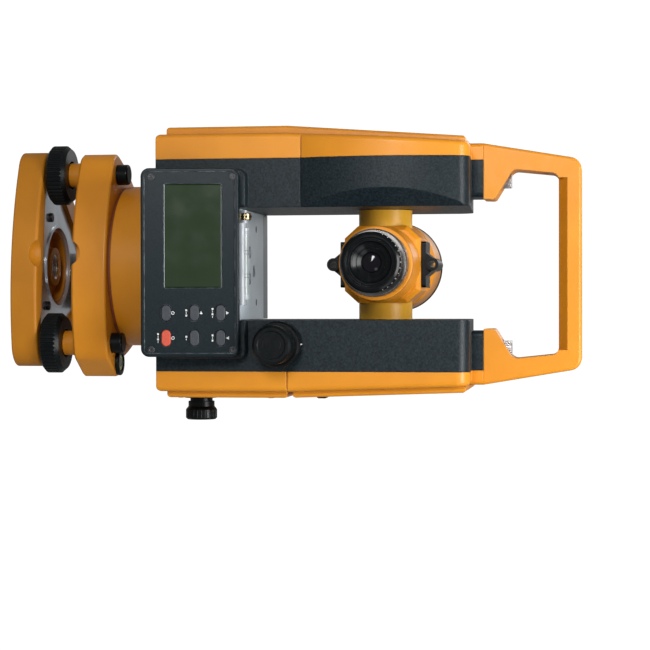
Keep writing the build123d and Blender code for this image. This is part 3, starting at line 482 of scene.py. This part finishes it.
def raised(work, outline, place, low, high, taper=0.0):
    """An outline of (x, y) points, in millimetres, raised between two heights over the place."""
    centre = sum((Vector(p) for p in outline), Vector((0, 0))) / len(outline)
    bottom, top = [], []
    for point in outline:
        inward = (centre - Vector(point)).normalized() * taper
        x, y = point
        foot = Vector((x * MM, y * MM, low * MM))
        head = Vector(((x + inward.x) * MM, (y + inward.y) * MM, high * MM))
        bottom.append(work.verts.new(place @ foot))
        top.append(work.verts.new(place @ head))
    work.faces.new(top)
    work.faces.new(bottom[::-1])
    for i in range(len(outline)):
        work.faces.new((bottom[i - 1], bottom[i], top[i], top[i - 1]))


def disc(x, y, radius, count=24):
    """Points round a circle."""
    angles = [2 * pi * i / count for i in range(count)]
    return [(x + radius * cos(angle), y + radius * sin(angle)) for angle in angles]


def bar(x, y, width, height):
    """Corners of a rectangle about a centre."""
    return [(x + sx * width / 2, y + sy * height / 2) for sx, sy in ((-1, -1), (1, -1), (1, 1), (-1, 1))]


def pill(x, y, length, width, count=10):
    """A slot's outline about a centre, along X."""
    half = (length - width) / 2
    ends = []
    for side, start in ((1, -pi / 2), (-1, pi / 2)):
        for i in range(count + 1):
            angle = start + pi * i / count
            ends.append((x + side * half + width / 2 * cos(angle), y + width / 2 * sin(angle)))
    return ends


def make_piece(name, work, body, finish):
    """Turns finished mesh work into a piece that rides on a body."""
    bmesh.ops.remove_doubles(work, verts=work.verts, dist=1e-7)
    bmesh.ops.recalc_face_normals(work, faces=work.faces)
    for face in work.faces:
        face.smooth = True
    for edge in work.edges:
        edge.smooth = len(edge.link_faces) == 2 and edge.calc_face_angle() < radians(32)
    mesh = bpy.data.meshes.new(name)
    work.to_mesh(mesh)
    work.free()
    mesh.materials.append(finishes[finish].material)
    thing = bpy.data.objects.new(name, mesh)
    bpy.context.scene.collection.objects.link(thing)
    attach(thing, body)


def middle(node):
    """The middle of a node's box."""
    low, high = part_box(node)
    return (Vector(low) + Vector(high)) / 2


def corner(node, x, y, z):
    """A point of a node's box: -1, 0 or 1 along each axis, from its low to its high side."""
    low, high = (Vector(v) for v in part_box(node))
    half = (high - low) / 2
    return (low + high) / 2 + Vector((x * half.x, y * half.y, z * half.z))


# ---- display ------------------------------------------------------------------------------
KEY_RISE = 0.65                 # from a key's middle to the panel round it, in millimetres
PRINT_RISE = 0.06
SYMBOL_UP, WORD_DOWN = 4.0, 4.8
DASH_STEP, DASH_WIDTH = 1.55, 1.1
ARROWS = {"up": [(-1.0, 3.2), (1.0, 3.2), (0, 4.9)], "down": [(-1.0, 4.9), (0, 3.2), (1.0, 4.9)],
          "left": [(-1.1, 4.0), (0.7, 3.1), (0.7, 4.9)]}
KEY_SIGNS = {"upper_left": "up", "upper_right": "down", "middle_left": "left", "lower_left": "ring",
             "lower_right": "ring"}
KEY_DASHES = {"upper_left": 4, "upper_right": 3, "middle_left": 3, "middle_right": 2, "lower_right": 4}
SCREEN_RISE = 1.1
SCREEN_HIGHLIGHT_LINES = ((-1, 0.28), (1, 0.14))      # painted highlights on the screen's glass: the lower and the upper line, and their widths


def panel_place(node, rise):
    """The display panel's plane, over the middle of a node in it."""
    normal = -Vector(joints["key_upper_left_press"]["axis"])
    return placed(middle(node) + normal * rise * MM, normal)


def hoop(work, rings, place):
    """A flat printed ring between two circles of points."""
    loops = []
    for outline in rings:
        points = [Vector((x * MM, y * MM, PRINT_RISE * MM)) for x, y in outline]
        loops.append([work.verts.new(place @ point) for point in points])
    for i in range(len(loops[0])):
        work.faces.new((loops[0][i - 1], loops[0][i], loops[1][i], loops[1][i - 1]))


def make_legends():
    """Arrows and rings over the keys, and dashes where words would stand."""
    work = bmesh.new()
    ring = [disc(0, SYMBOL_UP, 1.0), disc(0, SYMBOL_UP, 0.62)]
    for key, sign in KEY_SIGNS.items():
        place = panel_place(f"key_{key}", KEY_RISE)
        if sign == "ring":
            hoop(work, ring, place)
        else:
            raised(work, ARROWS[sign], place, 0, PRINT_RISE)
    for key, dashes in KEY_DASHES.items():
        place = panel_place(f"key_{key}", KEY_RISE)
        for i in range(dashes):
            x = (i - (dashes - 1) / 2) * DASH_STEP
            height = 0.35 if i % 2 else 1.0
            raised(work, bar(x, -WORD_DOWN, DASH_WIDTH, height), place, 0, PRINT_RISE)
    make_piece("key_legends", work, "alidade", "white_ink")


def make_screen_highlight_lines():
    """Pale lines along the screen's long edges: painted highlights where the glass's bevel catches light."""
    low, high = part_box("display_glass")
    axis = joints["key_upper_left_press"]["axis"]
    lean = atan2(abs(axis[2]), abs(axis[1]))
    tall = (high[2] - low[2]) / MM / cos(lean)
    wide = (high[0] - low[0]) / MM
    place = panel_place("display_glass", SCREEN_RISE)
    work = bmesh.new()
    for side, width in SCREEN_HIGHLIGHT_LINES:
        # painted highlight: a thin pale strip along each long edge of the glass
        raised(work, bar(0, side * (tall / 2 - 0.55), wide - 0.6, width), place, 0, 0.12)
    make_piece("screen_highlight_lines", work, "alidade", "level_tube")


# ---- levels -------------------------------------------------------------------------------
LEVEL_LINES = (-8.0, -6.0, 6.0, 8.0)        # along the plate level, from its middle
CAP_LENGTH = 3.0
BUBBLE_RISE = 2.0
NUT_RISE = 0.65
NUT_HOLES, NUT_HOLE_R = 8, 0.75
NUT_R, NUT_HOLE_HEIGHT = 3.74, 3.7


def make_circular_level():
    """A bubble under its glass, with the ring it is centred in and a collar."""
    top = corner("circular_level_vial", 0, 0, 1)
    place = placed(top, (0, 0, 1))
    work = bmesh.new()
    lathe(work, [(2.35, 0.0), (2.6, 0.0), (2.6, 0.08), (2.35, 0.08)], place, 48)
    make_piece("circular_level_mark", work, "tribrach", "rubber")
    work = bmesh.new()
    dome = [(0.02, 0.14), (0.9, 0.12), (1.5, 0.07), (1.8, 0.0), (0.02, 0.0)]
    lathe(work, dome, placed(top + Vector((0.3, 0.2, 0)) * MM, (0, 0, 1)), 36)
    make_piece("circular_level_bubble", work, "tribrach", "level_tube")
    work = bmesh.new()
    lathe(work, [(5.5, -0.3), (6.2, -0.3), (6.5, 0.35), (6.3, 0.55), (5.7, 0.55), (5.5, 0.3)], place)
    make_piece("circular_level_collar", work, "tribrach", "smooth_black")


def make_plate_level():
    """The plate level's pairs of graduation lines, end caps and bubble."""
    centre = middle("plate_level_vial")
    low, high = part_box("plate_level_vial")
    half = (high[0] - low[0]) / 2 / MM
    place = placed(centre, (1, 0, 0), (0, 1, 0))
    work = bmesh.new()
    for x in LEVEL_LINES:
        lathe(work, [(3.0, x - 0.12), (3.05, x - 0.12), (3.05, x + 0.12), (3.0, x + 0.12)], place, 48)
    make_piece("plate_level_lines", work, "alidade", "rubber")
    work = bmesh.new()
    for x in (-half, half - CAP_LENGTH):
        lathe(work, [(3.0, x), (3.12, x + 0.1), (3.12, x + 2.8), (3.0, x + CAP_LENGTH)], place, 48)
    make_piece("plate_level_caps", work, "alidade", "level_tube")
    work = bmesh.new()
    bubble = [(0.3, -5.2), (0.9, -4.6), (1.2, -3.0), (1.2, 3.0), (0.9, 4.6), (0.3, 5.2)]
    spot = centre + Vector((0, 0, BUBBLE_RISE * MM))
    lathe(work, bubble, placed(spot, (1, 0, 0), (0, 1, 0)), 32)
    make_piece("plate_level_bubble", work, "alidade", "level_tube")


def make_level_nut():
    """The brass nut that adjusts the plate level, with dark discs of painted shade where its pin holes are."""
    nut = placed(corner("plate_level_holder", -1, 0, 0), (1, 0, 0), (0, 1, 0))
    nut.translation.z = middle("plate_level_vial").z + NUT_RISE * MM
    work = bmesh.new()
    lathe(work, [(2.3, 1.6), (3.3, 1.6), (3.75, 2.0), (3.75, 5.4), (3.3, 5.8), (2.3, 5.8)], nut, 48)
    make_piece("level_capstan_nut", work, "alidade", "brass")
    work = bmesh.new()
    for i in range(NUT_HOLES):
        angle = radians(22.5 + 45 * i)
        spot = nut @ Vector((NUT_R * MM * cos(angle), NUT_R * MM * sin(angle), NUT_HOLE_HEIGHT * MM))
        outward = nut.to_3x3() @ Vector((cos(angle), sin(angle), 0))
        # painted shade: flat dark discs stand in for the holes' dark insides
        raised(work, disc(0, 0, NUT_HOLE_R, 16), placed(spot, outward, (1, 0, 0.01)), -0.1, 0.07)
    make_piece("level_capstan_hole_shade", work, "alidade", "rubber")


# ---- telescope ----------------------------------------------------------------------------
AXIS_Z = joints["telescope_tilt"]["pos_m"][2]
BAFFLES, BAFFLE_PITCH, OBJECTIVE_LEDGE = 4, 0.9, 69.0
EYEPIECE_RINGS = ((13.3, 77.15), (11.0, 75.55), (8.6, 74.35))   # radius, distance from the axis
TICK_R, TICK_REACH, TICK_STEP = 17.3, 76.4, 11
SIGHT_UP, SIGHT_WINDOW_R = 30.2, 2.25
SIGHT_ENDS = ((-17.2, -1), (15.2, 1))       # where each end is, and the way it faces
SLEEVE_R, HUB_REACH = 16.47, 19.0


def line_of_sight(distance, way):
    """A place on the telescope's axis, facing the eyepiece for -1 or the objective for 1."""
    return placed((0, way * distance * MM, AXIS_Z), (0, way, 0))


def make_objective():
    """The objective's black rim, and the baffles behind its glass."""
    rear = line_of_sight(0, 1)
    work = bmesh.new()
    lathe(work, [(27.4, 69.0), (28.52, 69.0), (29.0, 69.6), (29.0, 73.2), (28.4, 73.98), (26.2, 73.98),
                 (25.4, 73.0), (24.2, 70.0), (24.2, 69.0)], rear)
    make_piece("objective_rim", work, "telescope", "smooth_black")
    work = bmesh.new()
    for i in range(BAFFLES):
        z = OBJECTIVE_LEDGE - BAFFLE_PITCH * i
        lathe(work, [(22.6, z), (24.1, z + 0.45), (24.1, z - 0.45)], rear, 72)
    make_piece("objective_baffles", work, "telescope", "rubber")


def make_eyepiece_rings():
    """Ridges on the stepped face round the eyepiece's lens."""
    work = bmesh.new()
    for radius, height in EYEPIECE_RINGS:
        ridge = [(radius - 0.25, height - 0.2), (radius, height + 0.16), (radius + 0.25, height - 0.2)]
        lathe(work, ridge, line_of_sight(0, -1))
    make_piece("eyepiece_rings", work, "eyepiece", "gloss_black")


def make_dioptre_ticks():
    """The eyepiece's focus scale."""
    work = bmesh.new()
    for i in range(-6, 7):
        long_tick = i % 3 == 0
        angle = radians(90 + TICK_STEP * i)
        outward = Vector((cos(angle), 0, sin(angle)))
        spot = Vector((0, 0, AXIS_Z)) + outward * TICK_R * MM + Vector((0, -TICK_REACH * MM, 0))
        tick = placed(spot, outward + Vector((0, -0.5, 0)), (0, -1, 0))
        raised(work, bar(0, 0, 1.4 if long_tick else 0.8, 0.28), tick, -0.02, 0.12)
    make_piece("dioptre_ticks", work, "eyepiece", "white_ink")


def make_tube_seam():
    """The seal where the telescope's rear tube meets its body."""
    work = bmesh.new()
    lathe(work, [(21.3, 49.4), (22.1, 49.5), (22.16, 49.9), (22.1, 50.3), (21.3, 50.4)], line_of_sight(0, -1))
    make_piece("tube_seam", work, "telescope", "dark_seam_and_painted_shade")


def make_focus_washer():
    """A bright washer between the focusing ring and the eyepiece."""
    work = bmesh.new()
    lathe(work, [(14.1, 63.55), (17.0, 63.55), (17.0, 64.1), (14.1, 64.1)], line_of_sight(0, -1))
    make_piece("focus_washer", work, "focusing", "bright_screws")


def make_sight_windows():
    """The front and rear window of each sight, with a small aiming cross in front."""
    work, cross = bmesh.new(), bmesh.new()
    for up in (-1, 1):
        for y, way in SIGHT_ENDS:
            place = placed((0, y * MM, AXIS_Z + up * SIGHT_UP * MM), (0, way, 0))
            raised(work, disc(0, 0, SIGHT_WINDOW_R), place, -0.6, 0.0)
            if way > 0:
                raised(cross, bar(0, 0, 3.0, 0.35), place, 0, 0.06)
                raised(cross, bar(0, 0, 0.35, 3.0), place, 0.0, 0.08)
    make_piece("sight_windows", work, "telescope", "clear_glass")
    make_piece("sight_crosses", cross, "telescope", "white_ink")


def trunnion_walls():
    """Each standard's inner wall, and the place on it where the trunnion comes out."""
    for node, side in (("left_standard_shell", 1), ("right_standard_shell", -1)):
        wall = corner(node, side, 0, 0).x
        yield wall, placed((wall, 0, AXIS_Z), (side, 0, 0), (0, 1, 0))


def make_trunnion_collars():
    """Thin dark rings where the trunnions enter the standards."""
    work = bmesh.new()
    for _, place in trunnion_walls():
        lathe(work, [(16.5, -0.4), (19.0, -0.4), (19.0, 0.12), (18.4, 0.22), (16.5, 0.22)], place)
    make_piece("trunnion_collars", work, "alidade", "smooth_black")


def make_trunnion_sleeves():
    """The trunnions' yellower skin, from the walls to the telescope's hub."""
    work = bmesh.new()
    for wall, place in trunnion_walls():
        reach = abs(wall) / MM - HUB_REACH
        lathe(work, [(16.3, -0.3), (SLEEVE_R, -0.3), (SLEEVE_R, reach), (16.3, reach)], place)
    make_piece("trunnion_sleeves", work, "telescope", "trunnion_paint")


# ---- knobs and screws ---------------------------------------------------------------------
SCREW_INSET = 7
PANEL_SCREW_R, REAR_SCREW_R = 2.2, 1.9
PANEL_SCREW_TOP = 0.165         # the upper panel screws stay below this height, in metres
REAR_SCREW_X, REAR_SCREW_Z = 27, 15
LATCH_HEIGHT = 12
LATCH_RIDGES, RIDGE_STEP = 5, 2.4


def make_knob_face(name, way):
    """Turned rings on the end of a tangent knob."""
    face = placed(corner(f"{name}_tangent_knob", 0, way, 0), (0, way, 0))
    work = bmesh.new()
    lathe(work, [(0.4, -1.5), (4.6, -1.5), (5.2, -0.55), (5.6, -0.55), (6.0, -1.5), (6.4, -1.5),
                 (6.4, -2.2), (0.4, -2.2)], face)
    make_piece(f"{name}_knob_face", work, f"{name}_tangent", "smooth_black")


def make_clamp_mark(name):
    """An index mark on top of a clamp ring."""
    work = bmesh.new()
    raised(work, bar(0, 0, 6.0, 0.7), placed(corner(f"{name}_clamp_ring", 0, 0, 1), (0, 0, 1), (0, 1, 0)),
           -0.5, 0.02)
    make_piece(f"{name}_clamp_mark", work, f"{name}_clamp", "white_ink")


def screw_head(work, spot, normal, across, radius):
    """A domed screw head with a countersunk rim."""
    dome = [(0.35, 0.10), (0.6, 0.45), (radius * 0.7, 0.38), (radius, 0.12), (radius, -0.6), (0.35, -0.6)]
    lathe(work, dome, placed(spot, normal, across), 32)


def make_case_screws():
    """Screws that hold the side panels and the rear cover."""
    work = bmesh.new()
    inset = SCREW_INSET * MM
    for node, side in (("left_side_panel", -1), ("right_side_panel", 1)):
        low, high = (Vector(v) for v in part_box(node))
        x = corner(node, side, 0, 0).x
        top = min(high.z, PANEL_SCREW_TOP)
        for y in (low.y + inset, high.y - inset):
            for z in (low.z + inset, top - inset):
                screw_head(work, (x, y, z), (side, 0, 0), (0, 1, 0), PANEL_SCREW_R)
    rear = corner("rear_cover", 0, 1, 0)
    for x in (-REAR_SCREW_X, REAR_SCREW_X):
        for z in (-REAR_SCREW_Z, REAR_SCREW_Z):
            spot = rear + Vector((x * MM, 0, z * MM))
            screw_head(work, spot, (0, 1, 0), (1, 0, 0), REAR_SCREW_R)
    make_piece("case_screws", work, "alidade", "black_screws")


def make_latch():
    """The battery's sliding catch, with its finger ridges."""
    low, high = (Vector(v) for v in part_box("battery_box"))
    place = placed((high.x, 0, low.z + LATCH_HEIGHT * MM), (1, 0, 0), (0, 1, 0))
    work = bmesh.new()
    raised(work, pill(0, 0, 26, 11), place, -1.0, 0.5, 0.5)
    make_piece("battery_latch_plate", work, "battery", "black_plastic")
    work = bmesh.new()
    raised(work, pill(0, 0, 17, 6.5), place, 0.3, 1.7, 0.5)
    for i in range(LATCH_RIDGES):
        x = (i - (LATCH_RIDGES - 1) / 2) * RIDGE_STEP
        raised(work, bar(x, 0, 0.9, 5.0), place, 1.5, 2.15, 0.2)
    make_piece("battery_latch_button", work, "battery", "smooth_black")


# ---- tribrach -----------------------------------------------------------------------------
LOCK_FACE, LOCK_RISE = 7.3, 1.5
THREAD_PITCH, THREAD_TURNS, THREAD_START = 25.4 / 11, 5, 0.6


def make_dark_seam_and_painted_shade():
    """A red-brown ring round the drum, on top of the tribrach: painted shade in the groove at the drum's foot."""
    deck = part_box("foot_screw_bushes")[1][2]
    work = bmesh.new()
    # painted shade: a dark ring where the drum's undercut falls into shadow
    outline = [(47.0, 0.05), (49.1, 0.05), (49.4, 0.9), (49.1, 1.8), (47.0, 1.8)]
    lathe(work, outline, placed((0, 0, deck), (0, 0, 1)), 144)
    make_piece("dark_seam_and_painted_shade", work, "tribrach", "dark_seam_and_painted_shade")


def make_lock_mark():
    """An arrow on the hub of the tribrach's lock lever."""
    joint = joints["lock_lever_turn"]
    normal = Vector(joint["axis"])
    hub = Vector(joint["pos_m"]) + normal * LOCK_FACE * MM
    place = placed(hub, normal, Vector((-normal.y, normal.x, 0))) @ Matrix.Translation((0, 0, LOCK_RISE * MM))
    work = bmesh.new()
    raised(work, [(2.0, -2.2), (6.0, 0.0), (2.0, 2.2)], place, 0, 0.08)
    make_piece("lock_arrow", work, "lock_lever", "white_ink")


def make_tripod_thread():
    """Rings of thread in the base plate's hole."""
    work = bmesh.new()
    place = placed((0, 0, 0), (0, 0, 1))
    for i in range(THREAD_TURNS):
        z = THREAD_START + i * THREAD_PITCH
        crest = z + THREAD_PITCH / 2
        lathe(work, [(7.95, z), (7.15, crest - 0.15), (7.15, crest + 0.15), (7.95, z + THREAD_PITCH)], place)
    make_piece("tripod_thread_ribs", work, "base", "steel")


make_legends()
make_screen_highlight_lines()
make_circular_level()
make_plate_level()
make_level_nut()
make_objective()
make_eyepiece_rings()
make_dioptre_ticks()
make_tube_seam()
make_focus_washer()
make_sight_windows()
make_trunnion_collars()
make_trunnion_sleeves()
for name, way in (("vertical", -1), ("horizontal", 1)):
    make_knob_face(name, way)
    make_clamp_mark(name)
make_case_screws()
make_latch()
make_dark_seam_and_painted_shade()
make_lock_mark()
make_tripod_thread()
paint_cad()


# ---- stage --------------------------------------------------------------------------------
FLOOR_SIZE = 24.0
CAMERA_PLACE = (0.0241, -1.130, 0.3555)
CAMERA_TILT, CAMERA_PAN = 8.54, -0.66       # degrees, down and to the left
LENS, SENSOR = 101.7, 36.0


def area_light(name, where, target, size, power):
    """A soft white lamp that looks at a target."""
    data = bpy.data.lights.new(name, "AREA")
    data.shape = "RECTANGLE"
    data.size, data.size_y = size
    data.energy = power
    lamp = bpy.data.objects.new(name, data)
    bpy.context.scene.collection.objects.link(lamp)
    lamp.location = where
    lamp.rotation_euler = (Vector(target) - Vector(where)).to_track_quat("-Z", "Y").to_euler()


def seen_and_lit(tree, seen, lit):
    """A shader that is one thing to the camera and another as a light."""
    path = tree.nodes.new("ShaderNodeLightPath")
    mix = tree.nodes.new("ShaderNodeMixShader")
    tree.links.new(path.outputs["Is Camera Ray"], mix.inputs["Fac"])
    tree.links.new(lit, mix.inputs[1])
    tree.links.new(seen, mix.inputs[2])
    return mix.outputs["Shader"]


def make_world():
    """White to the camera, and dimmer as a light, like a cut-out against a white page."""
    world = bpy.data.worlds.new("studio")
    world.use_nodes = True
    tree = world.node_tree
    lit = tree.nodes["Background"]
    lit.inputs["Color"].default_value = (1.0, 1.0, 1.0, 1.0)
    lit.inputs["Strength"].default_value = WORLD_LIGHT
    page = tree.nodes.new("ShaderNodeBackground")
    page.inputs["Color"].default_value = (1.0, 1.0, 1.0, 1.0)
    page.inputs["Strength"].default_value = PAGE_WHITE
    shader = seen_and_lit(tree, page.outputs["Background"], lit.outputs["Background"])
    tree.links.new(shader, tree.nodes["World Output"].inputs["Surface"])
    bpy.context.scene.world = world


def make_floor():
    """A white page to the camera that sends little light back up."""
    bpy.ops.mesh.primitive_plane_add(size=FLOOR_SIZE, location=(0, 0, 0))
    floor = bpy.context.object
    floor.name = "floor"
    pale = Finish("pale_floor", (0.08, 0.08, 0.08), 0.9, Specular_IOR_Level=0.0,
                  Emission_Color=(1.0, 1.0, 1.0, 1.0), Emission_Strength=FLOOR_LIGHT)
    tree = pale.material.node_tree
    page = tree.nodes.new("ShaderNodeEmission")
    page.inputs["Color"].default_value = (1.0, 1.0, 1.0, 1.0)
    page.inputs["Strength"].default_value = PAGE_WHITE
    shader = seen_and_lit(tree, page.outputs["Emission"], pale.shader.outputs["BSDF"])
    tree.links.new(shader, tree.nodes["Material Output"].inputs["Surface"])
    floor.data.materials.append(pale.material)


def make_stage():
    """The world, the floor and four soft lamps."""
    bpy.context.scene.view_settings.view_transform = "Standard"
    make_world()
    make_floor()
    area_light("front_light", (-0.42, -1.40, 0.20), (-0.05, 0.0, 0.20), (0.30, 0.22), 7.5)
    area_light("top_light", (0.06, -0.44, 0.82), (0.0, 0.0, 0.26), (0.5, 0.3), 6.6)
    area_light("side_light", (0.9, -0.9, 0.75), (0.0, 0.0, 0.25), (0.5, 0.5), 1.5)
    area_light("back_light", (-0.55, 1.15, 0.85), (0.0, 0.0, 0.22), (0.9, 0.6), 6.0)


def make_camera():
    """The upright instrument fills the frame turned a quarter turn, so the camera is rolled."""
    tilt, pan = radians(CAMERA_TILT), radians(CAMERA_PAN)
    forward = Vector((-sin(pan) * cos(tilt), cos(pan) * cos(tilt), -sin(tilt)))
    up = Vector((-sin(pan) * sin(tilt), cos(pan) * sin(tilt), cos(tilt)))
    right = forward.cross(up)
    data = bpy.data.cameras.new("camera")
    data.lens, data.sensor_width = LENS, SENSOR
    camera = bpy.data.objects.new("camera", data)
    axes = Matrix((up, -right, -forward)).transposed().to_4x4()
    camera.matrix_world = Matrix.Translation(CAMERA_PLACE) @ axes
    bpy.context.scene.collection.objects.link(camera)
    bpy.context.scene.camera = camera


make_camera()
make_stage()
